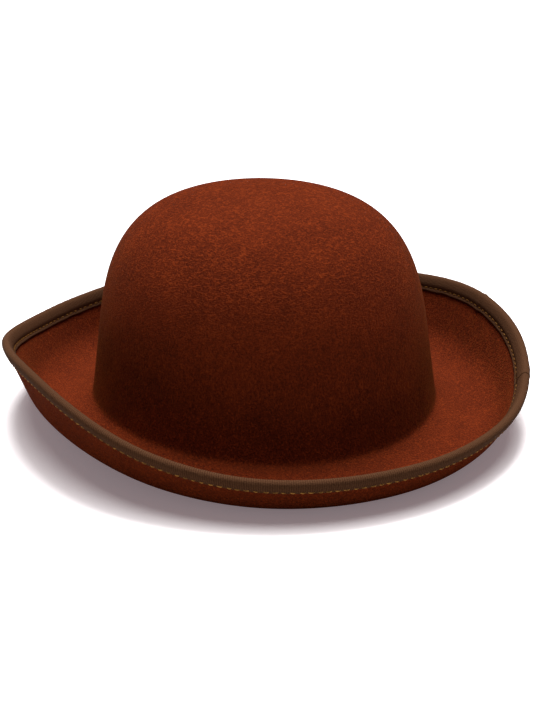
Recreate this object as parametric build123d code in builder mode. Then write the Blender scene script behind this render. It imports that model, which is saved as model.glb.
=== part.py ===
from build123d import *

import os
from math import cos, hypot, pi, radians, sin

# Bowler hat: oval felt body with a curled brim, bound edge, leather sweatband and satin lining.
# Units are millimetres, +Z is up and the front of the hat faces -Y. The origin is on the floor
# under the middle of the crown. Radii are those at the front and back; OVAL narrows the sides.

# ---- driving dimensions ----
OVAL = 0.94                 # width over length
SECTIONS = 24               # sections around each lofted ring

FELT = 2.6                  # felt thickness
CROWN_R = 98.2              # half length of the crown wall, middle of the felt, at the break
CROWN_LEAN = 0.146          # the wall leans inward this much per mm of height
WALL_TOP = 46.6             # the dome starts here
CROWN_TOP = 122.2           # highest point of the hat
DOME_POWER = 3.25           # squareness of the dome
BREAK_Z = 7.8               # crown to brim corner, at the front
BREAK_RISE = 4.1            # how much higher that corner is at the sides
BREAK_FILLET = 2.2
JOIN_Z = 24.0               # height where the brim loft meets the crown

DIP_R = 133.7               # lowest corner of the brim section, at the front
DIP_RISE_R = 7.3            # how much closer to the crown it is at the sides
DIP_Z = -3.8                # its height, before the floor trims the felt flat
DIP_TILT = 0.8              # levels the front with the back
DIP_RISE = 5.6
CURL_FILLET = 21.0
EDGE_R = 148.2              # furthest reach of the brim edge
EDGE_R_Z = 28.4             # height of that furthest reach

RIBBON = 0.55               # binding thickness
RIBBON_GAP = 0.1
LEG_UPPER = 10.2            # binding width on the upper face of the brim
LEG_UNDER = 4.9             # binding width on the under face
STITCH_UPPER = 6.4          # upper stitch line from the felt edge
STITCH_UNDER = 4.1          # under stitch line from the felt edge
THREAD_R = 0.3              # to the corners of its section
THREAD_SIDES = 8
CONTACT = 0.02              # clearance between touching parts
RIBBON_JOIN = 51.0          # azimuth where the ribbon's two ends meet, degrees from the front
END_GAP = 0.5               # gap between the ends of a strip that goes round the hat

BAND = 1.2                  # sweatband leather thickness
BAND_INSET = FELT / 2 + 0.6 + BAND / 2   # leaves room for the lining edge behind the band
BAND_ABOVE_BREAK = 5.0
BAND_TOP = 60.0
REED_R = 1.1

LINING = 0.3
LINING_GAP = 0.12
LINING_FROM_Z = 50.0
LINING_HOLE_R = 58.0        # half length of the oval top opening, covered by the tip
TIP_R = 60.0
TIP_Z = 109.4
TIP_TOP = 115.2
SEAM_R = 58.8

BOW_HALF, BOW_H, BOW_T = 13.0, 11.0, 0.8
BOW_Y, BOW_Z = 90.7, 22.0
KNOT_W, KNOT_H, KNOT_T = 5.0, 7.0, 2.2


# ---- shape of the hat around its azimuth, 0 at the front ----
def toward_side(phi):
    return sin(phi) ** 2


def wall_radius(z):
    return CROWN_R - CROWN_LEAN * (z - BREAK_Z)


def break_height(phi):
    return BREAK_Z + BREAK_RISE * toward_side(phi)


def oval(phi):
    return hypot(OVAL * sin(phi), cos(phi))


def section_plane(phi):
    """Upright plane through the axis: local x runs outward, local y runs up."""
    out = Vector(OVAL * sin(phi), -cos(phi), 0).normalized()
    return Plane(origin=(0, 0, 0), x_dir=out, z_dir=out.cross(Vector(0, 0, 1)))


def wall_point(phi, z, inset=0):
    return oval(phi) * wall_radius(z) - inset, z


def dip_point(phi):
    rise = toward_side(phi)
    z = DIP_Z + DIP_TILT * cos(phi) + DIP_RISE * rise
    return Vector(oval(phi) * (DIP_R - DIP_RISE_R * rise), z)


def edge_point(phi):
    z = 33.9 - 4.8 * cos(phi) - 9.6 * cos(2 * phi) - 0.9 * cos(3 * phi) + 3.5 * cos(4 * phi)
    return Vector(oval(phi) * (EDGE_R - 0.00725 * (z - EDGE_R_Z) ** 2), z)


def edge_plane(phi):
    """The same plane moved to the brim edge: local x leaves the edge, y faces the upper side."""
    base = section_plane(phi)
    edge = edge_point(phi)
    out = edge - dip_point(phi)
    x_dir = base.x_dir * out.X + Vector(0, 0, out.Y)
    return Plane(origin=base.from_local_coords(edge), x_dir=x_dir, z_dir=base.z_dir)


def ring_sections(section):
    faces = [section(2 * pi * i / SECTIONS) for i in range(SECTIONS)]
    return faces + faces[:1]


# ---- sections ----
def brim_section(phi):
    dip = dip_point(phi)
    edge = edge_point(phi)
    corner = break_height(phi)
    with BuildSketch(section_plane(phi), mode=Mode.PRIVATE) as sketch:
        with BuildLine() as line:
            Polyline(
                wall_point(phi, JOIN_Z + FELT),
                wall_point(phi, corner),
                (dip.X, dip.Y),
                (edge.X, edge.Y),
            )
            fillet(line.vertices().filter_by(lambda v: abs(v.Y - corner) < 0.01), BREAK_FILLET)
            fillet(line.vertices().filter_by(lambda v: abs(v.X - dip.X) < 0.01), CURL_FILLET)
            offset(amount=oval(phi) * FELT / 2, mode=Mode.REPLACE)
        make_face()
    return sketch.sketch.face()


def ribbon_section(phi):
    reach = FELT / 2 + RIBBON_GAP + RIBBON / 2
    with BuildSketch(edge_plane(phi), mode=Mode.PRIVATE) as sketch:
        with BuildLine():
            Line((-LEG_UPPER, reach), (0, reach))
            ThreePointArc((0, reach), (reach, 0), (0, -reach))
            Line((0, -reach), (-LEG_UNDER, -reach))
            offset(amount=RIBBON / 2, mode=Mode.REPLACE)
        make_face()
    return sketch.sketch.face()


def thread_section(phi, stitch_in, face_side):
    height = FELT / 2 + RIBBON_GAP + RIBBON + THREAD_R + CONTACT
    with BuildSketch(edge_plane(phi), mode=Mode.PRIVATE) as sketch:
        with Locations((-stitch_in, face_side * height)):
            RegularPolygon(THREAD_R, THREAD_SIDES)
    return sketch.sketch.face()


def band_section(phi):
    low = break_height(phi) + BAND_ABOVE_BREAK
    with BuildSketch(section_plane(phi), mode=Mode.PRIVATE) as sketch:
        with BuildLine():
            Line(wall_point(phi, low, BAND_INSET), wall_point(phi, BAND_TOP, BAND_INSET))
            offset(amount=BAND / 2, mode=Mode.REPLACE)
        make_face()
    return sketch.sketch.face()


def reed_section(phi):
    z = break_height(phi) + BAND_ABOVE_BREAK - BAND / 2 - REED_R - CONTACT
    with BuildSketch(section_plane(phi), mode=Mode.PRIVATE) as sketch:
        with Locations(wall_point(phi, z, BAND_INSET)):
            Circle(REED_R)
    return sketch.sketch.face()


def band_thread_section(phi):
    z = break_height(phi) + BAND_ABOVE_BREAK + 2.0
    with BuildSketch(section_plane(phi), mode=Mode.PRIVATE) as sketch:
        with Locations(wall_point(phi, z, BAND_INSET + BAND / 2 + THREAD_R + CONTACT)):
            RegularPolygon(THREAD_R, THREAD_SIDES)
    return sketch.sketch.face()


# ---- crown profile ----
def dome_curve():
    """Middle of the felt from below the join up to the top of the crown."""
    top = CROWN_TOP - FELT / 2
    points = []
    for rise in (0.1, 0.25, 0.45, 0.65, 0.8, 0.91, 0.975):
        z = WALL_TOP + (top - WALL_TOP) * rise
        points.append((wall_radius(z) * (1 - rise**DOME_POWER) ** (1 / DOME_POWER), z))
    start = JOIN_Z - FELT
    wall = Line((wall_radius(start), start), (wall_radius(WALL_TOP), WALL_TOP))
    Spline(wall @ 1, *points, (0, top), tangents=[wall % 1, (-1, 0)])


def dome_profile(depth, thickness):
    """Shell profile that follows the crown, its middle this deep inside the middle of the felt."""
    with BuildSketch(Plane.XZ, mode=Mode.PRIVATE) as sketch:
        with BuildLine():
            dome_curve()
            if depth:
                offset(amount=depth, side=Side.LEFT, closed=False, mode=Mode.REPLACE)
            offset(amount=thickness / 2, mode=Mode.REPLACE)
        make_face()
        with Locations((-10, CROWN_TOP)):
            Rectangle(20, 60, mode=Mode.SUBTRACT)
    return sketch.sketch.face()


def cut_strip_ends(azimuth, radius, z):
    """Narrow gap across a strip, where its two ends meet."""
    angle = radians(azimuth)
    place = Location((radius * sin(angle), -radius * cos(angle), z), (0, 0, azimuth))
    with Locations(place):
        Box(END_GAP, 30, 80, mode=Mode.SUBTRACT)


os.makedirs("parts", exist_ok=True)

# ---- felt body: crown and brim are one piece of felt ----
with BuildPart() as crown:
    revolve(dome_profile(0, FELT - 2 * CONTACT), axis=Axis.Z)
    scale(by=(OVAL, 1, 1))
    split(bisect_by=Plane.XY.offset(JOIN_Z), keep=Keep.TOP)

with BuildPart() as felt_body:
    loft(sections=ring_sections(brim_section))
    with Locations((0, 0, JOIN_Z + FELT)):
        Cylinder(CROWN_R + FELT, 2 * FELT, mode=Mode.SUBTRACT)
    split(bisect_by=Plane.XY, keep=Keep.TOP)
    add(crown.part)
felt_body.part.label = "felt_body"

# ---- grosgrain binding folded over the edge, ends meeting at the front right ----
with BuildPart() as brim_binding:
    loft(sections=ring_sections(ribbon_section))
    cut_strip_ends(RIBBON_JOIN, EDGE_R, EDGE_R_Z)
brim_binding.part.label = "brim_binding"

with BuildPart() as binding_upper_thread:
    loft(sections=ring_sections(lambda phi: thread_section(phi, STITCH_UPPER, 1)))
binding_upper_thread.part.label = "binding_upper_thread"

with BuildPart() as binding_under_thread:
    loft(sections=ring_sections(lambda phi: thread_section(phi, STITCH_UNDER, -1)))
binding_under_thread.part.label = "binding_under_thread"

# ---- sweatband: leather strip, reeded lower edge, its stitching and the bow at the back ----
with BuildPart() as sweatband:
    loft(sections=ring_sections(band_section))
    cut_strip_ends(180, CROWN_R, BAND_TOP / 2)
sweatband.part.label = "sweatband"

with BuildPart() as sweatband_reed:
    loft(sections=ring_sections(reed_section))
sweatband_reed.part.label = "sweatband_reed"

with BuildPart() as sweatband_thread:
    loft(sections=ring_sections(band_thread_section))
sweatband_thread.part.label = "sweatband_thread"

with BuildPart() as sweatband_bow:
    with BuildSketch(Plane.XZ.offset(-BOW_Y)):
        with Locations((0, BOW_Z)):
            Rectangle(2 * BOW_HALF, BOW_H)
            with GridLocations(0, BOW_H, 1, 2):
                Rectangle(BOW_HALF, BOW_H - KNOT_H, mode=Mode.SUBTRACT)
    extrude(amount=BOW_T / 2, both=True)
    chamfer(sweatband_bow.edges().filter_by(Axis.Y).group_by(Axis.Z)[1], 1.5)
    with Locations((0, BOW_Y, BOW_Z)):
        Box(KNOT_W, KNOT_T, KNOT_H)
sweatband_bow.part.label = "sweatband_bow"

# ---- lining: satin side wall tucked behind the band, oval tip sewn over its top ----
with BuildPart() as lining_side:
    revolve(dome_profile(FELT / 2 + LINING_GAP + LINING / 2, LINING), axis=Axis.Z)
    scale(by=(OVAL, 1, 1))
    split(bisect_by=Plane.XY.offset(LINING_FROM_Z), keep=Keep.TOP)
    with BuildSketch():
        Ellipse(LINING_HOLE_R * OVAL, LINING_HOLE_R)
    extrude(amount=CROWN_TOP, mode=Mode.SUBTRACT)
lining_side.part.label = "lining_side"

with BuildPart() as lining_tip:
    with BuildSketch(Plane.XZ):
        with BuildLine():
            tip_curve = TangentArc((0, TIP_TOP), (TIP_R, TIP_Z), tangent=(1, 0))
            offset(amount=LINING / 2, mode=Mode.REPLACE)
        make_face()
        with Locations((-10, TIP_TOP)):
            Rectangle(20, 20, mode=Mode.SUBTRACT)
    revolve(axis=Axis.Z)
    scale(by=(OVAL, 1, 1))
lining_tip.part.label = "lining_tip"

with BuildPart() as lining_thread:
    with BuildSketch(Plane.XZ):
        seam = tip_curve @ (SEAM_R / TIP_R)
        with Locations((seam.X, seam.Y - LINING / 2 - THREAD_R - CONTACT)):
            RegularPolygon(THREAD_R, THREAD_SIDES)
    revolve(axis=Axis.Z)
    scale(by=(OVAL, 1, 1))
lining_thread.part.label = "lining_thread"

for piece in (
    felt_body,
    brim_binding,
    binding_upper_thread,
    binding_under_thread,
    sweatband,
    sweatband_reed,
    sweatband_thread,
    sweatband_bow,
    lining_side,
    lining_tip,
    lining_thread,
):
    export_step(piece.part, f"parts/{piece.part.label}.step")
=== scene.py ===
import math

import bmesh
import bpy
import numpy as np
from mathutils import Matrix, Vector


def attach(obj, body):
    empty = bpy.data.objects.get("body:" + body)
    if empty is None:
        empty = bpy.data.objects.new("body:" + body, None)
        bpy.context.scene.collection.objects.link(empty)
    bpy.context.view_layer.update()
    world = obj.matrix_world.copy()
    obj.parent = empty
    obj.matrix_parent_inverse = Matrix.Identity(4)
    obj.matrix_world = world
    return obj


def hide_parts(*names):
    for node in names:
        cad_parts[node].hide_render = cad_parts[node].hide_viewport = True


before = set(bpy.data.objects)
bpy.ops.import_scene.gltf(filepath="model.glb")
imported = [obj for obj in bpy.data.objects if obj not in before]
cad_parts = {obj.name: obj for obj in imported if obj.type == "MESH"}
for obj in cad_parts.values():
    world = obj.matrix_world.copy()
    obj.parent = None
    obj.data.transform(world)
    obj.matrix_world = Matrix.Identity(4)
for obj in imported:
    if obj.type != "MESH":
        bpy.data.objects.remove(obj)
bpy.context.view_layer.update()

MM = 0.001

# ---------------------------------------------------------------- hat dimensions, mm
# They are the CAD's own, but for RIBBON_UPPER, RIBBON_UNDER and STITCH_UPPER: 10.2, 4.9 and 6.4 there.
OVAL = 0.94
FELT = 2.6
CROWN_R, CROWN_LEAN = 98.2, 0.146
WALL_TOP, CROWN_TOP, DOME_POWER = 46.6, 122.2, 3.25
BREAK_Z, BREAK_RISE, BREAK_FILLET = 7.8, 4.1, 2.2
DIP_R, DIP_RISE_R, DIP_Z, DIP_TILT, DIP_RISE = 133.7, 7.3, -3.8, 0.8, 5.6
CURL_FILLET = 21.0
EDGE_R, EDGE_R_Z = 148.2, 28.4
RIBBON, RIBBON_UPPER, RIBBON_UNDER = 0.55, 7.9, 5.0      # thickness, width of the two legs
STITCH_UPPER, STITCH_UNDER = 5.8, 4.1                    # in from the edge of the felt
INNER_POINTS = 7                                         # of the ribbon's section, against the felt
RIBBON_JOIN = 51.0                                       # degrees from the front
RIBBON_LAP, RIBBON_KINK = 3.6, 34.0                      # degrees: end of the lap, and a kink, past the join
BAND_INSET, BAND_TOP, BAND_ABOVE_BREAK = 2.5, 60.0, 5.0
BAND, REED_R, REED_BELOW, BAND_STITCH_UP = 1.2, 1.1, 1.72, 2.0
LINING, LINING_DEPTH, LINING_FROM_Z = 0.3, 1.57, 50.0
TIP_R, TIP_Z, TIP_TOP, SEAM_R = 60.0, 109.4, 115.2, 58.8
BOW_HALF, BOW_H, BOW_Y, BOW_Z = 13.0, 11.0, 90.7, 22.0
KNOT_W, KNOT_H, KNOT_T = 5.0, 7.0, 2.2
GATHERS = 64

# Spacing, length and radius of the stitches, m.
BINDING_STITCH = (4.3e-3, 3.0e-3, 0.33e-3)
BAND_STITCH = (4.0e-3, 3.1e-3, 0.26e-3)
LINING_STITCH = (2.6e-3, 1.9e-3, 0.2e-3)

# ---------------------------------------------------------------- light and colour
SKY_STRENGTH = 0.12
KEY_TILT, KEY_STRENGTH, KEY_SPREAD = (-17, 10), 4.0, 22     # from behind, a little to the right
FILL_TILT, FILL_STRENGTH, FILL_SPREAD = (0, 1), 2.4, 40     # from above
FLOOR_SEEN, FLOOR_BOUNCE = (0.95, 0.925, 0.93), (0.50, 0.465, 0.45)
FLOOR_LIFT = (0.185, 0.145, 0.155)
FLOOR_HALF = 8                                              # m

# Camera fitted to the hat's outline: angles in degrees, distances in m, the rest in picture heights.
CAMERA_AZIMUTH, CAMERA_ELEVATION, CAMERA_ROLL = -27.05, 22.70, -0.67
CAMERA_DISTANCE, CAMERA_AIM_Z = 0.8694, 0.00485
FOCAL_LENGTH, SHIFT_X, SHIFT_Y = 2.202672, 0.0043038, 0.0608158
SENSOR = 36

FELT_TONES = [
    (0.19, (0.028, 0.0052, 0.0025)),
    (0.44, (0.114, 0.0168, 0.0046)),
    (0.72, (0.238, 0.0385, 0.0080)),
]
RIBBON_TONES = (0.045, 0.0165, 0.0070), (0.094, 0.0420, 0.0195)
BOW_TONES = (0.030, 0.012, 0.009), (0.075, 0.032, 0.022)
SATIN_TONES = [(0.25, (0.155, 0.084, 0.046)), (0.75, (0.235, 0.132, 0.073))]
LEATHER_TONES = [(0.25, (0.07, 0.030, 0.013)), (0.55, (0.15, 0.070, 0.032)), (0.8, (0.21, 0.105, 0.052))]
REED_TONES = [(0.2, (0.055, 0.026, 0.016)), (0.8, (0.13, 0.066, 0.038))]
GOLD, GOLD_SHADED = (0.33, 0.155, 0.034), (0.165, 0.068, 0.0125)
BAND_THREAD, LINING_THREAD = (0.22, 0.12, 0.05), (0.20, 0.11, 0.06)
RIBBON_RIB, BOW_RIB, REED_WRAP = 1.05e-3, 0.6e-3, 1.2e-3     # m

RINGS, BINDING_RINGS = 720, 760
PHI = np.arange(RINGS) * 2 * math.pi / RINGS
PHI_FINE = np.linspace(0, 2 * math.pi, 4 * RINGS + 1)


def wave(phi, seed, terms, low, high):
    """Smooth closed wave round the hat, about -1 to 1."""
    rng = np.random.default_rng(seed)
    total = np.zeros_like(phi)
    for _ in range(terms):
        total += rng.normal() * np.sin(rng.integers(low, high) * phi + rng.uniform(0, 6.28))
    return total / math.sqrt(terms)


def oval(phi):
    """How far out the hat's oval is at this azimuth, 1 at the front and back."""
    return np.hypot(OVAL * np.sin(phi), np.cos(phi))


def wall_radius(z):
    """Middle of the crown wall at this height, front and back."""
    return CROWN_R - CROWN_LEAN * (z - BREAK_Z)


def break_point(phi):
    """Corner between the crown wall and the brim."""
    z = BREAK_Z + BREAK_RISE * np.sin(phi) ** 2
    return np.stack([oval(phi) * wall_radius(z), z], -1)


def dip_point(phi):
    """Corner at the lowest part of the brim, before its curl."""
    rise = np.sin(phi) ** 2
    z = DIP_Z + DIP_TILT * np.cos(phi) + DIP_RISE * rise - 1.0 * np.sin(2 * phi) ** 2
    return np.stack([oval(phi) * (DIP_R - DIP_RISE_R * rise), z], -1)


def edge_point(phi):
    """Edge of the brim: high at the sides, low at the front and back, and a little uneven."""
    z = 33.9 - 4.8 * np.cos(phi) - 9.6 * np.cos(2 * phi) - 0.9 * np.cos(3 * phi) + 3.5 * np.cos(4 * phi)
    z += 0.8 * np.sin(3 * phi) - 1.2 * np.sin(phi) + 0.28 * wave(phi, 3, 7, 5, 19)
    r = EDGE_R - 0.00725 * (z - EDGE_R_Z) ** 2 + 0.25 * wave(phi, 4, 6, 4, 13)
    return np.stack([oval(phi) * r, z], -1)


def to_world(phi, rz):
    """Section coordinates (radius, height) in mm at these azimuths to metres."""
    out = np.stack([OVAL * np.sin(phi), -np.cos(phi)], -1)
    out /= np.linalg.norm(out, axis=-1, keepdims=True)
    while out.ndim < rz.ndim:
        out = out[:, None]
    return np.concatenate([out * rz[..., :1], rz[..., 1:]], -1) * MM


def arc_points(corner, before, after, radius, steps):
    """Fillet of a polyline corner, as (n, steps, 2) points, for n sections at once."""
    a0 = np.arctan2(before[:, 1], before[:, 0])
    a1 = np.arctan2(after[:, 1], after[:, 0])
    turn = a1 - a0
    reach = radius * np.tan(turn / 2)
    start = corner - before * reach[:, None]
    centre = start + radius * np.stack([-np.sin(a0), np.cos(a0)], -1)
    angle = a0[:, None] + turn[:, None] * np.linspace(0, 1, steps)
    return centre[:, None] + radius * np.stack([np.sin(angle), -np.cos(angle)], -1)


def unit(v):
    return v / np.linalg.norm(v, axis=-1, keepdims=True)


def between(a, b, steps):
    """Evenly spaced points strictly between a and b."""
    t = np.linspace(0, 1, steps + 2)[1:-1][None, :, None]
    return a[:, None] * (1 - t) + b[:, None] * t


def resample(line, count):
    """Each section polyline to evenly spaced points."""
    out = np.empty((len(line), count, 2))
    for i, points in enumerate(line):
        length = np.concatenate([[0], np.cumsum(np.linalg.norm(np.diff(points, axis=0), axis=1))])
        even = np.linspace(0, length[-1], count)
        out[i, :, 0] = np.interp(even, length, points[:, 0])
        out[i, :, 1] = np.interp(even, length, points[:, 1])
    return out


def smooth_step(x):
    x = np.clip(x, 0, 1)
    return x * x * (3 - 2 * x)


def soften(line, rounds):
    """Round off the corners of section lines; their ends stay."""
    for _ in range(rounds):
        line[:, 1:-1] = 0.25 * line[:, :-2] + 0.5 * line[:, 1:-1] + 0.25 * line[:, 2:]
    return line


def felt_middle(phi):
    """Middle of the felt from the top of the crown out to the brim edge, one row per azimuth."""
    k = oval(phi)[:, None]
    top = CROWN_TOP - FELT / 2
    theta = np.linspace(math.pi / 2, 0, 90)
    z = WALL_TOP + (top - WALL_TOP) * np.sin(theta) ** (2 / DOME_POWER)
    dome = np.stack([k * wall_radius(z) * np.cos(theta) ** (2 / DOME_POWER), k * 0 + z], -1)
    foot, dip, edge = break_point(phi), dip_point(phi), edge_point(phi)
    down, across, up = unit(foot - dome[:, -1]), unit(dip - foot), unit(edge - dip)
    break_arc = arc_points(foot, down, across, BREAK_FILLET, 9)
    curl_arc = arc_points(dip, across, up, CURL_FILLET, 24)
    return np.concatenate(
        [
            dome,
            between(dome[:, -1], break_arc[:, 0], 14),
            break_arc,
            between(break_arc[:, -1], curl_arc[:, 0], 8),
            curl_arc,
            between(curl_arc[:, -1], edge, 8),
            edge[:, None],
        ],
        1,
    )


def normals_open(line):
    """Left normals of the section lines: outward and up on the crown, up on the brim."""
    d = unit(np.gradient(line, axis=1))
    return np.stack([-d[..., 1], d[..., 0]], -1)


def normals(line):
    """The same, with the first one upright, as it has to be where a line starts on the hat's axis."""
    n = normals_open(line)
    n[:, 0] = (0, 1)
    return n


# ---------------------------------------------------------------- mesh helpers
def make_mesh(name, verts, faces, replaces=(), uv=None):
    """Smooth-shaded piece on the root body; uv is in metres along and across the strip."""
    mesh = bpy.data.meshes.new(name)
    mesh.from_pydata([tuple(v) for v in verts], [], faces)
    mesh.polygons.foreach_set("use_smooth", [True] * len(mesh.polygons))
    if uv is not None:
        layer = mesh.uv_layers.new(name="strip")
        index = np.empty(len(mesh.loops), int)
        mesh.loops.foreach_get("vertex_index", index)
        layer.data.foreach_set("uv", np.asarray(uv, float)[index].ravel())
    mesh.update()
    obj = bpy.data.objects.new(name, mesh)
    bpy.context.collection.objects.link(obj)
    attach(obj, "root")
    if replaces:
        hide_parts(*replaces)
    return obj


def grid_faces(rows, cols, close_rows=False, close_cols=False, flip=False):
    """Quads over a grid of points stored row by row."""
    faces = []
    for i in range(rows if close_rows else rows - 1):
        for j in range(cols if close_cols else cols - 1):
            a, b = i * cols + j, i * cols + (j + 1) % cols
            c, d = ((i + 1) % rows) * cols + (j + 1) % cols, ((i + 1) % rows) * cols + j
            faces.append((d, c, b, a) if flip else (a, b, c, d))
    return faces


def weld(obj, distance):
    work = bmesh.new()
    work.from_mesh(obj.data)
    bmesh.ops.remove_doubles(work, verts=work.verts, dist=distance)
    bmesh.ops.recalc_face_normals(work, faces=work.faces)
    work.to_mesh(obj.data)
    work.free()


# ---------------------------------------------------------------- camera, lights, floor
def camera():
    azimuth, elevation, roll = np.radians([CAMERA_AZIMUTH, CAMERA_ELEVATION, CAMERA_ROLL]).tolist()
    level = math.cos(elevation)
    back = Vector((math.sin(azimuth) * level, -math.cos(azimuth) * level, math.sin(elevation)))
    flat_right = Vector((math.cos(azimuth), math.sin(azimuth), 0))
    flat_up = back.cross(flat_right)
    right = flat_right * math.cos(roll) + flat_up * math.sin(roll)
    up = flat_up * math.cos(roll) - flat_right * math.sin(roll)
    data = bpy.data.cameras.new("camera")
    data.sensor_width = SENSOR
    data.lens = FOCAL_LENGTH * SENSOR
    data.shift_x, data.shift_y = SHIFT_X, SHIFT_Y
    data.clip_start, data.clip_end = 0.05, 20
    cam = bpy.data.objects.new("camera", data)
    bpy.context.collection.objects.link(cam)
    place = Matrix((right, up, back)).transposed().to_4x4()
    place.translation = back * CAMERA_DISTANCE + Vector((0, 0, CAMERA_AIM_Z))
    cam.matrix_world = place
    bpy.context.scene.camera = cam


def sun(name, tilt, strength, spread):
    """Broad soft light from far above; tilt leans it, in degrees about X and Y."""
    data = bpy.data.lights.new(name, "SUN")
    data.energy = strength
    data.angle = math.radians(spread)
    lamp = bpy.data.objects.new(name, data)
    bpy.context.collection.objects.link(lamp)
    lamp.rotation_euler = (math.radians(tilt[0]), math.radians(tilt[1]), 0)


def floor_material():
    """Pale paper that throws back less light than it shows, so the hat's sides keep their depth."""
    mat, nodes, shader = material("floor", (1, 1, 1), 0.9)
    seen = nodes.add("LightPath").outputs["Is Camera Ray"]
    tone = nodes.ramp(seen, [(0.0, FLOOR_BOUNCE), (1.0, FLOOR_SEEN)])
    nodes.tree.links.new(tone, shader.inputs["Base Color"])
    shader.inputs["Specular IOR Level"].default_value = 0.0
    shader.inputs["Emission Color"].default_value = (*FLOOR_LIFT, 1)
    nodes.tree.links.new(seen, shader.inputs["Emission Strength"])
    return mat


def studio():
    """White ground and sky that light the hat only softly, and two broad suns."""
    world = bpy.data.worlds.new("world")
    world.use_nodes = True
    nodes = Nodes(world.node_tree)
    seen = nodes.add("LightPath").outputs["Is Camera Ray"]
    glow = nodes.add("MapRange", {"Value": seen, "To Min": SKY_STRENGTH, "To Max": 1.0}).outputs[0]
    background = world.node_tree.nodes["Background"]
    background.inputs["Color"].default_value = (1, 1, 1, 1)
    world.node_tree.links.new(glow, background.inputs["Strength"])
    bpy.context.scene.world = world
    bpy.context.scene.view_settings.view_transform = "Standard"
    sun("key", KEY_TILT, KEY_STRENGTH, KEY_SPREAD)
    sun("fill", FILL_TILT, FILL_STRENGTH, FILL_SPREAD)
    mesh = bpy.data.meshes.new("floor")
    corners = [(x * FLOOR_HALF, y * FLOOR_HALF, 0) for x, y in ((-1, -1), (1, -1), (1, 1), (-1, 1))]
    mesh.from_pydata(corners, [], [(0, 1, 2, 3)])
    floor = bpy.data.objects.new("floor", mesh)
    bpy.context.collection.objects.link(floor)
    floor.data.materials.append(floor_material())


# ---------------------------------------------------------------- materials
class Nodes:
    """Short way to add and link shader nodes."""

    def __init__(self, tree):
        self.tree = tree

    def add(self, kind, inputs=None, **props):
        node = self.tree.nodes.new("ShaderNode" + kind)
        for key, value in props.items():
            setattr(node, key, value)
        for key, value in (inputs or {}).items():
            if isinstance(value, bpy.types.NodeSocket):
                self.tree.links.new(value, node.inputs[key])
            else:
                node.inputs[key].default_value = value
        return node

    def ramp(self, factor, stops):
        node = self.add("ValToRGB", {"Fac": factor})
        while len(node.color_ramp.elements) < len(stops):
            node.color_ramp.elements.new(0.5)
        for element, (position, colour) in zip(node.color_ramp.elements, stops):
            element.position = position
            element.color = (*colour, 1)
        return node.outputs["Color"]


def material(name, colour, roughness):
    mat = bpy.data.materials.new(name)
    mat.use_nodes = True
    shader = mat.node_tree.nodes["Principled BSDF"]
    shader.inputs["Base Color"].default_value = (*colour, 1)
    shader.inputs["Roughness"].default_value = roughness
    return mat, Nodes(mat.node_tree), shader


def tinted(nodes, shader, factor, stops):
    nodes.tree.links.new(nodes.ramp(factor, stops), shader.inputs["Base Color"])


def bumped(nodes, shader, height, strength, distance):
    bump = nodes.add("Bump", {"Strength": strength, "Distance": distance, "Height": height})
    nodes.tree.links.new(bump.outputs["Normal"], shader.inputs["Normal"])


def math_node(nodes, operation, a, b=0.0):
    return nodes.add("Math", {0: a, 1: b}, operation=operation).outputs[0]


def blend(nodes, a, share_a, b, share_b):
    """Sum of two values, each times its share."""
    return math_node(
        nodes, "ADD", math_node(nodes, "MULTIPLY", a, share_a), math_node(nodes, "MULTIPLY", b, share_b)
    )


def wave_scale(period):
    """Scale that makes a wave texture repeat at this many metres."""
    return 2 * math.pi / (20 * period)


def fibres(nodes, place, scale, width, shift):
    """Short wandering hairs: where a noise crosses its middle, cut into lengths by another noise."""
    offset = (shift, 2 * shift, -shift)
    moved = nodes.add("VectorMath", {0: place, 1: offset}, operation="ADD").outputs[0]
    noise = nodes.add("TexNoise", {"Vector": moved, "Scale": scale, "Detail": 1.0, "Distortion": 0.4})
    off_line = math_node(nodes, "ABSOLUTE", math_node(nodes, "SUBTRACT", noise.outputs["Fac"], 0.5))
    hair = nodes.add(
        "MapRange",
        {"Value": off_line, "From Min": 0.0, "From Max": width, "To Min": 1.0, "To Max": 0.0},
        interpolation_type="SMOOTHSTEP",
    )
    gaps = nodes.add("TexNoise", {"Vector": place, "Scale": scale * 1.7, "Detail": 0.0})
    length = nodes.add("MapRange", {"Value": gaps.outputs["Fac"], "From Min": 0.45, "From Max": 0.6})
    return math_node(nodes, "MULTIPLY", hair.outputs[0], length.outputs[0])


def stretched(nodes, place, scale):
    """Place scaled along each axis: a pattern laid over it is drawn out where the scale is small."""
    return nodes.add("VectorMath", {0: place, 1: scale}, operation="MULTIPLY").outputs[0]


def fibre_coat(nodes, place, shift):
    """Three sizes of hair, one over the other."""
    hairs = fibres(nodes, place, 480.0, 0.07, shift)
    for scale in (680.0, 900.0):
        shift += 1.3
        hairs = math_node(nodes, "MAXIMUM", hairs, fibres(nodes, place, scale, 0.07, shift))
    return hairs


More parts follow.
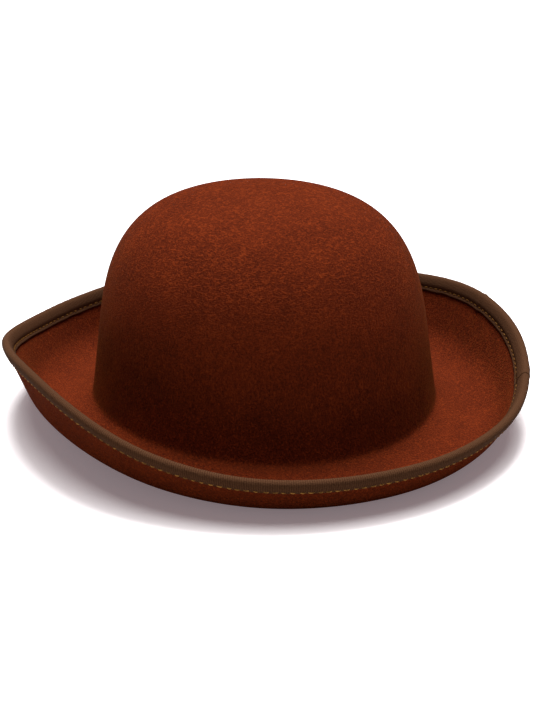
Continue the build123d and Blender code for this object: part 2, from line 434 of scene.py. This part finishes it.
def felt_material():
    """Short nap, brushed upright low on the hat and round it towards the top."""
    mat, nodes, shader = material("felt", (0.15, 0.03, 0.008), 0.95)
    place = nodes.add("TexCoord").outputs["Object"]
    level, upright = [stretched(nodes, place, stretch) for stretch in ((0.4, 0.4, 1), (1, 1, 0.4))]
    height_up = nodes.add("SeparateXYZ", {0: place}).outputs["Z"]
    crown = nodes.add("MapRange", {"Value": height_up, "From Min": 0.045, "From Max": 0.09}).outputs[0]
    brushed = [fibre_coat(nodes, way, shift) for way, shift in ((upright, 0.3), (level, 5.1))]
    mix = nodes.add("Mix", {0: crown, 2: brushed[0], 3: brushed[1]}, data_type="FLOAT")
    broad = nodes.add("TexNoise", {"Vector": place, "Scale": 45.0, "Detail": 3.0, "Roughness": 0.6})
    fine = nodes.add("TexNoise", {"Vector": place, "Scale": 1100.0, "Detail": 2.0, "Roughness": 0.75})
    mottle = math_node(nodes, "MULTIPLY", broad.outputs["Fac"], 0.17)
    height = blend(nodes, fine.outputs["Fac"], 0.56, mix.outputs[0], 0.165)
    tone = math_node(nodes, "ADD", mottle, height)
    tinted(nodes, shader, tone, FELT_TONES)
    bumped(nodes, shader, height, 0.9, 0.0012)
    shader.inputs["Sheen Weight"].default_value = 0.07
    shader.inputs["Sheen Roughness"].default_value = 0.12
    shader.inputs["Sheen Tint"].default_value = (1.0, 0.36, 0.07, 1)
    shader.inputs["Specular IOR Level"].default_value = 0.02
    return mat


def ribbon_material(name, tones, rib):
    """Grosgrain: fine ribs across the strip, with a little fuzz and uneven dye."""
    mat, nodes, shader = material(name, tones[0], 0.8)
    strip = nodes.add("UVMap", uv_map="strip").outputs["UV"]
    ribs = nodes.add(
        "TexWave",
        {"Vector": strip, "Scale": wave_scale(rib), "Distortion": 0.5, "Detail": 1.0, "Detail Scale": 0.3},
        bands_direction="X",
    )
    fuzz = nodes.add("TexNoise", {"Vector": strip, "Scale": 1400.0, "Detail": 2.0})
    tone = blend(nodes, ribs.outputs["Fac"], 0.3, fuzz.outputs["Fac"], 0.7)
    tinted(nodes, shader, tone, [(0.25, tones[0]), (0.75, tones[1])])
    bumped(nodes, shader, tone, 0.9, 0.0006)
    shader.inputs["Specular IOR Level"].default_value = 0.04
    return mat


def thread_material(name, colour):
    """Twisted thread: painted shade between the plies and painted light on their crests."""
    mat, nodes, shader = material(name, colour, 0.6)
    place = nodes.add("TexCoord").outputs["Object"]
    plies = nodes.add(
        "TexWave", {"Vector": place, "Scale": 300.0, "Distortion": 2.0}, bands_direction="DIAGONAL"
    )
    # painted shade in the grooves between the plies (0.55 of the colour), painted light on the ply crests
    # (1.25 of it)
    dark, light = [tuple(c * f for c in colour) for f in (0.55, 1.25)]
    tinted(nodes, shader, plies.outputs["Fac"], [(0.2, dark), (0.8, light)])
    bumped(nodes, shader, plies.outputs["Fac"], 0.4, 0.0002)
    shader.inputs["Specular IOR Level"].default_value = 0.08
    return mat


def leather_material():
    """Fine-grained sheepskin with faint creases."""
    mat, nodes, shader = material("leather", (0.16, 0.075, 0.035), 0.5)
    place = nodes.add("TexCoord").outputs["Object"]
    cells = nodes.add("TexVoronoi", {"Vector": place, "Scale": 900.0}, feature="DISTANCE_TO_EDGE")
    creases = nodes.add("TexNoise", {"Vector": place, "Scale": 120.0, "Detail": 6.0, "Roughness": 0.65})
    grain = nodes.add("MapRange", {"Value": cells.outputs["Distance"], "From Min": 0.0, "From Max": 0.25})
    height = blend(nodes, grain.outputs[0], 0.4, creases.outputs["Fac"], 0.6)
    tinted(nodes, shader, height, LEATHER_TONES)
    bumped(nodes, shader, height, 0.35, 0.0004)
    rough = nodes.add("MapRange", {"Value": creases.outputs["Fac"], "To Min": 0.38, "To Max": 0.62})
    nodes.tree.links.new(rough.outputs[0], shader.inputs["Roughness"])
    return mat


def satin_material():
    """Smooth weave with soft upright slubs."""
    mat, nodes, shader = material("satin", (0.20, 0.11, 0.06), 0.32)
    place = nodes.add("TexCoord").outputs["Object"]
    weave = nodes.add(
        "TexWave", {"Vector": place, "Scale": 700.0, "Distortion": 1.0}, bands_direction="DIAGONAL"
    )
    drawn_out = stretched(nodes, place, (1, 1, 0.1))
    slubs = nodes.add("TexNoise", {"Vector": drawn_out, "Scale": 500.0, "Detail": 2.0})
    tone = blend(nodes, weave.outputs["Fac"], 0.25, slubs.outputs["Fac"], 0.75)
    tinted(nodes, shader, tone, SATIN_TONES)
    bumped(nodes, shader, tone, 0.2, 0.0002)
    shader.inputs["Anisotropic"].default_value = 0.4
    shader.inputs["Sheen Weight"].default_value = 0.2
    return mat


def reed_material():
    """Round welt wrapped in a narrow strip."""
    mat, nodes, shader = material("reed", (0.10, 0.05, 0.03), 0.55)
    strip = nodes.add("UVMap", uv_map="strip").outputs["UV"]
    wrap = nodes.add(
        "TexWave",
        {"Vector": strip, "Scale": wave_scale(REED_WRAP), "Distortion": 0.8},
        bands_direction="DIAGONAL",
    )
    tinted(nodes, shader, wrap.outputs["Fac"], REED_TONES)
    bumped(nodes, shader, wrap.outputs["Fac"], 0.5, 0.0003)
    return mat


# ---------------------------------------------------------------- pieces
def shell_section(middle, half):
    """Closed section round a middle line: its outer face, rounded end, inner face and start."""
    n = normals(middle)
    half = np.broadcast_to(half, middle.shape[:2])[..., None]
    end, out = middle[:, -1], unit(middle[:, -1] - middle[:, -2])
    turn = np.linspace(0, math.pi, 9)[1:-1]
    cap = end[:, None] + half[:, -1:] * (
        np.cos(turn)[None, :, None] * n[:, -1:] + np.sin(turn)[None, :, None] * out[:, None]
    )
    return np.concatenate([middle + n * half, cap, (middle - n * half)[:, ::-1]], 1)


def ring_mesh(name, phi, rz, replaces, mat, closed=True):
    """Surface of closed sections at these azimuths; an open strip gets end faces."""
    verts = to_world(phi, rz)
    rows, cols = verts.shape[:2]
    along = np.concatenate([[0], np.cumsum(np.linalg.norm(np.diff(verts[:, 0], axis=0), axis=1))])
    step = np.linalg.norm(np.diff(verts[0], axis=0), axis=1)
    across = np.concatenate([[0], np.cumsum(step)])
    uv = np.stack(np.broadcast_arrays(along[:, None], across[None]), -1).reshape(-1, 2)
    faces = grid_faces(rows, cols, close_rows=closed, close_cols=True)
    if not closed:
        faces += [tuple(range(cols))[::-1], tuple(range((rows - 1) * cols, rows * cols))]
    obj = make_mesh(name, verts.reshape(-1, 3), faces, replaces, uv)
    weld(obj, 1e-7)
    obj.data.materials.append(mat)
    return obj


def felt_body(mat):
    """Crown and brim as one shell of even thickness, cut flat where it stands on the floor."""
    middle = soften(resample(felt_middle(PHI), 190), 3)
    rz = shell_section(middle, oval(PHI)[:, None] * FELT / 2)
    rz[..., 1] = np.maximum(rz[..., 1], 0)
    rz[:, 0, 0] = rz[:, -1, 0] = 0
    weld(ring_mesh("felt", PHI, rz, ["felt_body"], mat), 1e-6)


def edge_frames(phi):
    """Brim edge point, outward direction and upper-face normal of each section."""
    edge = edge_point(phi)
    out = unit(edge - dip_point(phi))
    return edge, out, np.stack([-out[:, 1], out[:, 0]], -1)


def ribbon_profile():
    """Section of the folded ribbon, in mm from the felt's edge: along the leg, and off the felt's middle.

    Each leg dips where its row of stitches pulls it down. The last INNER_POINTS are the inner face.
    """
    base, inside = FELT / 2 + 0.1, FELT / 2 + 0.12
    upper = [(-RIBBON_UPPER, 0.38), (-7.5, 0.60), (-6.9, 0.60), (-6.4, 0.50), (-STITCH_UPPER, 0.18)]
    upper += [(-5.2, 0.62), (-4.2, 1.05), (-3.0, 1.22), (-1.4, 1.12)]
    under = [(-1.0, 0.95), (-2.0, 0.98), (-2.9, 0.86), (-3.5, 0.62)]
    under += [(-STITCH_UNDER, 0.25), (-4.6, 0.55), (-RIBBON_UNDER, 0.35)]
    turn = np.radians([90, 65, 40, 15, -10, -35, -60, -90])
    radius = base + np.array([1.02, 0.92, 0.86, 0.84, 0.84, 0.86, 0.88, 0.92])
    points = [(x, base + y) for x, y in upper]
    points += list(zip(radius * np.cos(turn), radius * np.sin(turn)))
    points += [(x, -base - y) for x, y in under]
    points += [(-RIBBON_UNDER, -inside), (-0.5, -inside), (1.0, -1.0), (1.45, 0)]
    points += [(1.0, 1.0), (-0.5, inside), (-RIBBON_UPPER, inside)]
    return np.array(points)


def binding(mat):
    """Ribbon folded over the brim edge; its first end lies on top of its last."""
    turn = np.linspace(0, 360 + RIBBON_LAP, BINDING_RINGS)
    phi = np.radians(RIBBON_JOIN + turn)
    section = ribbon_profile()
    section = np.broadcast_to(section, (len(phi), *section.shape)).copy()
    lap = 0.5 * RIBBON * (1 - smooth_step((turn - RIBBON_LAP) / 2.2))
    lap -= 0.12 * smooth_step((turn - 360) / 1.0)
    kink = 0.35 * np.exp(-(((turn - RIBBON_KINK) / 0.8) ** 2))
    fuzz = 0.05 * wave(phi, 21, 12, 60, 190)
    grow = unit(section[:, :-INNER_POINTS] - np.array([-4.0, 0.0]))
    section[:, :-INNER_POINTS] += grow * (lap + kink + fuzz)[:, None, None]
    section[:, 0, 0] -= 0.25 * wave(phi, 22, 9, 20, 90)
    edge, out, n = edge_frames(phi)
    rz = edge[:, None] + section[..., :1] * out[:, None] + section[..., 1:] * n[:, None]
    obj = ring_mesh("binding", phi, rz, ["brim_binding"], mat, closed=False)
    length = float(np.linalg.norm(np.diff(to_world(phi, edge), axis=0), axis=1).sum())


def stitch_row(name, node, mat, path, lift, stitch, seed):
    """Short raised stitches along a closed path; lift points off the surface, path lies on it."""
    pitch, dash, thick = stitch
    rng = np.random.default_rng(seed)
    length = np.concatenate([[0], np.cumsum(np.linalg.norm(np.diff(path, axis=0), axis=1))])
    count = round(length[-1] / pitch)
    verts, faces = [], []
    depth = np.array([-0.9, 0.0, 0.42, 0.55, 0.42, 0.0, -0.9]) * thick
    girth = np.array([0.5, 0.85, 1.0, 1.03, 1.0, 0.85, 0.5]) * thick
    steps, sides = len(depth), 8
    ring = np.linspace(0, 2 * math.pi, sides, endpoint=False)
    for i in range(count):
        middle = (i + rng.uniform(-0.08, 0.08)) * length[-1] / count
        spots = (middle + np.linspace(-0.5, 0.5, steps) * dash * rng.uniform(0.8, 1.12)) % length[-1]
        centre = np.stack([np.interp(spots, length, path[:, k]) for k in range(3)], -1)
        normal = unit(np.stack([np.interp(spots, length, lift[:, k]) for k in range(3)], -1))
        tangent = unit(np.gradient(centre, axis=0))
        sideways = np.cross(tangent, normal)
        slant = np.linspace(-1, 1, steps)[:, None] * rng.normal() * 0.1 * thick
        centre = centre + normal * depth[:, None] + sideways * slant
        start = len(verts)
        for c, up, side, g in zip(centre, normal, sideways, girth * rng.uniform(0.9, 1.1)):
            verts += [c + g * (math.cos(a) * up + 1.25 * math.sin(a) * side) for a in ring]
        faces += [tuple(start + v for v in f) for f in grid_faces(steps, sides, close_cols=True)]
        last = start + (steps - 1) * sides
        faces += [tuple(start + v for v in range(sides))[::-1], tuple(last + v for v in range(sides))]
    obj = make_mesh(name, verts, faces, [node])
    weld(obj, 1e-8)
    obj.data.materials.append(mat)


def edge_stitches(name, node, mat, inset, height, seed):
    """Row of stitches through the ribbon; a negative height is on the under side."""
    edge, out, n = edge_frames(PHI_FINE)
    path = to_world(PHI_FINE, edge - out * inset + n * height)
    lift = to_world(PHI_FINE, edge - out * inset + n * 2 * height) - path
    stitch_row(name, node, mat, path, lift, BINDING_STITCH, seed)


def wall_line(phi, z, inset):
    """Point inside the crown wall, this far in from the middle of the felt."""
    return np.stack([oval(phi) * wall_radius(z) - inset, np.broadcast_to(z, phi.shape)], -1)


def sweatband(mat):
    """Leather strip with a narrow gap at the back, slightly wavy, its upper edge a little off the wall."""
    phi = np.radians(np.linspace(180.2, 539.8, RINGS))
    low = break_point(phi)[:, 1] + BAND_ABOVE_BREAK
    top = BAND_TOP + 0.35 * wave(phi, 31, 6, 3, 14)
    rise = np.linspace(0, 1, 26)
    z = low[:, None] + (top - low)[:, None] * rise
    ripple = 0.32 * wave(phi, 32, 7, 4, 22)[:, None] * np.sin(math.pi * rise)
    ripple = ripple + 0.25 * smooth_step(rise * 4 - 3)
    inset = BAND_INSET + 0.15 + 0.5 * np.abs(ripple)
    middle = np.stack([oval(phi)[:, None] * wall_radius(z) - inset, z], -1)
    half = BAND / 2 * (0.92 - 0.25 * smooth_step(rise * 6 - 5))
    rz = shell_section(middle, half[None])
    ring_mesh("sweatband", phi, rz, ["sweatband"], mat, closed=False)


def sweatband_reed(mat):
    """Round welt under the sweatband's lower edge."""
    z = break_point(PHI)[:, 1] + BAND_ABOVE_BREAK - REED_BELOW
    radius = REED_R * (0.97 + 0.03 * wave(PHI, 41, 9, 30, 120).clip(-1, 1))
    turn = np.linspace(0, 2 * math.pi, 14, endpoint=False)
    circle = np.stack([np.cos(turn), np.sin(turn)], -1)
    rz = wall_line(PHI, z, BAND_INSET)[:, None] + radius[:, None, None] * circle
    ring_mesh("sweatband_reed", PHI, rz, ["sweatband_reed"], mat)


def band_stitches(mat):
    """Row that holds the sweatband, just above its lower edge."""
    z = break_point(PHI_FINE)[:, 1] + BAND_ABOVE_BREAK + BAND_STITCH_UP
    face = BAND_INSET + BAND / 2 + 0.22
    path = to_world(PHI_FINE, wall_line(PHI_FINE, z, face))
    lift = to_world(PHI_FINE, wall_line(PHI_FINE, z, face + 1.0)) - path
    stitch_row("sweatband_stitches", "sweatband_thread", mat, path, lift, BAND_STITCH, 13)


def lining_side(mat):
    """Satin eased into fine gathers towards the seam with the tip."""
    dome = resample(felt_middle(PHI)[:, :100], 160)
    inside = dome - normals(dome) * (LINING_DEPTH + 0.1)
    k = oval(PHI)[:, None]
    count = 60
    line = np.empty((RINGS, count, 2))
    for i in range(RINGS):
        keep = (inside[i, :, 0] > SEAM_R * k[i] - 1.2) & (inside[i, :, 1] > LINING_FROM_Z)
        line[i] = resample(inside[i : i + 1, keep], count)[0]
    up = np.linspace(1, 0, count)
    gather = 0.5 + 0.5 * np.sin(GATHERS * PHI + 1.2 * wave(PHI, 51, 5, 3, 12))
    gather *= 0.7 + 0.3 * wave(PHI, 52, 6, 9, 40).clip(-1, 1)
    depth = gather[:, None] * (0.12 + 1.35 * smooth_step(up) ** 1.5) + 0.2
    depth += 0.35 * np.abs(wave(PHI, 53, 5, 5, 16))[:, None] * np.sin(math.pi * up)
    line -= normals_open(line) * depth[..., None]
    obj = ring_mesh("lining_side", PHI, shell_section(line, LINING / 2), ["lining_side"], mat)


def lining_tip(mat):
    """Oval top of the lining, a little slack between the seam and the crown."""
    r = np.linspace(0, TIP_R, 50)
    bend = (TIP_R**2 + (TIP_TOP - TIP_Z) ** 2) / (2 * (TIP_TOP - TIP_Z))
    z = TIP_TOP - bend + np.sqrt(bend**2 - r**2)
    slack = 0.5 * wave(PHI, 61, 5, 2, 7)[:, None] * (np.sin(math.pi * r / TIP_R) ** 2)[None]
    slack += 0.12 * np.sin(GATHERS * PHI)[:, None] * smooth_step((r - 46) / 14)[None]
    line = np.stack([oval(PHI)[:, None] * r, z + slack], -1)
    rz = shell_section(line, LINING / 2)
    rz[:, 0, 0] = rz[:, -1, 0] = 0
    obj = ring_mesh("lining_tip", PHI, rz, ["lining_tip"], mat)
    weld(obj, 1e-6)


def seam_stitches(mat):
    """Row that joins the lining's side and its tip."""
    spot = np.stack([oval(PHI_FINE) * SEAM_R, PHI_FINE * 0 + TIP_Z - 0.15], -1)
    path = to_world(PHI_FINE, spot)
    lift = to_world(PHI_FINE, spot - np.array([0.0, 1.0])) - path
    stitch_row("lining_stitches", "lining_thread", mat, path, lift, LINING_STITCH, 14)


def ribbon_bow(mat):
    """Flat bow on the back of the sweatband: two pinched loops and a wrapped knot."""
    verts, faces, uvs = [], [], []
    loop, wide, round_knot = 40, 9, 24
    turn = np.linspace(0, 2 * math.pi, loop, endpoint=False)
    across = np.linspace(-1, 1, wide)
    for side in (-1, 1):
        x = BOW_HALF * (0.5 - 0.5 * np.cos(turn))
        for shell in (0.0, 0.35):
            start = len(verts)
            swell = (1.35 - shell) * np.sin(turn) * (0.35 + 0.65 * smooth_step(x / BOW_HALF * 1.6))
            height = BOW_H / 2 * (0.55 + 0.45 * smooth_step(x / BOW_HALF * 1.8))
            for xi, yi, hi in zip(x, swell, height):
                pleat = 0.25 * np.cos(3 * math.pi * across) * (1 - xi / BOW_HALF)
                out = side * (xi - shell * xi / BOW_HALF)
                verts += [(out, BOW_Y + yi + p, BOW_Z + hi * a) for a, p in zip(across, pleat)]
                uvs += [(xi * MM, hi * a * MM) for a in across]
            shell_faces = grid_faces(loop, wide, close_rows=True, flip=shell > 0)
            faces += [tuple(start + v for v in f) for f in shell_faces]
        outer, inner = start - loop * wide, start
        for edge in (0, wide - 1):
            for i in range(loop):
                here, there = wide * i + edge, wide * ((i + 1) % loop) + edge
                faces.append((outer + here, outer + there, inner + there, inner + here))
    start = len(verts)
    around = np.linspace(0, 2 * math.pi, round_knot, endpoint=False)
    for w in across:
        puff = 1 - 0.16 * w**4
        for a in around:
            cy, cz = math.cos(a), math.sin(a)
            y = math.copysign(abs(cy) ** 0.6, cy) * KNOT_T * 0.82 * puff
            z = math.copysign(abs(cz) ** 0.6, cz) * KNOT_H / 2 * puff
            verts.append((w * KNOT_W / 2 * (1 - 0.12 * cz**2), BOW_Y + y * 0.9, BOW_Z + z))
            uvs.append((a * 0.003, w * KNOT_W / 2 * MM))
    faces += [tuple(start + v for v in f) for f in grid_faces(wide, round_knot, close_cols=True)]
    last = start + (wide - 1) * round_knot
    faces += [tuple(start + v for v in range(round_knot))[::-1], tuple(last + v for v in range(round_knot))]
    obj = make_mesh("sweatband_bow", np.array(verts) * MM, faces, ["sweatband_bow"], uvs)
    weld(obj, 1e-7)
    obj.data.materials.append(mat)


camera()
studio()
felt_body(felt_material())
binding(ribbon_material("ribbon", RIBBON_TONES, RIBBON_RIB))
gold = thread_material("thread", GOLD)
gold_shaded = thread_material("thread_shaded", GOLD_SHADED)
edge_stitches("stitches_upper", "binding_upper_thread", gold_shaded, STITCH_UPPER, FELT / 2 + 0.42, 11)
edge_stitches("stitches_under", "binding_under_thread", gold, STITCH_UNDER, -(FELT / 2 + 0.50), 12)
sweatband(leather_material())
sweatband_reed(reed_material())
band_stitches(thread_material("band_thread", BAND_THREAD))
ribbon_bow(ribbon_material("bow_ribbon", BOW_TONES, BOW_RIB))
satin = satin_material()
lining_side(satin)
lining_tip(satin)
seam_stitches(thread_material("lining_thread", LINING_THREAD))
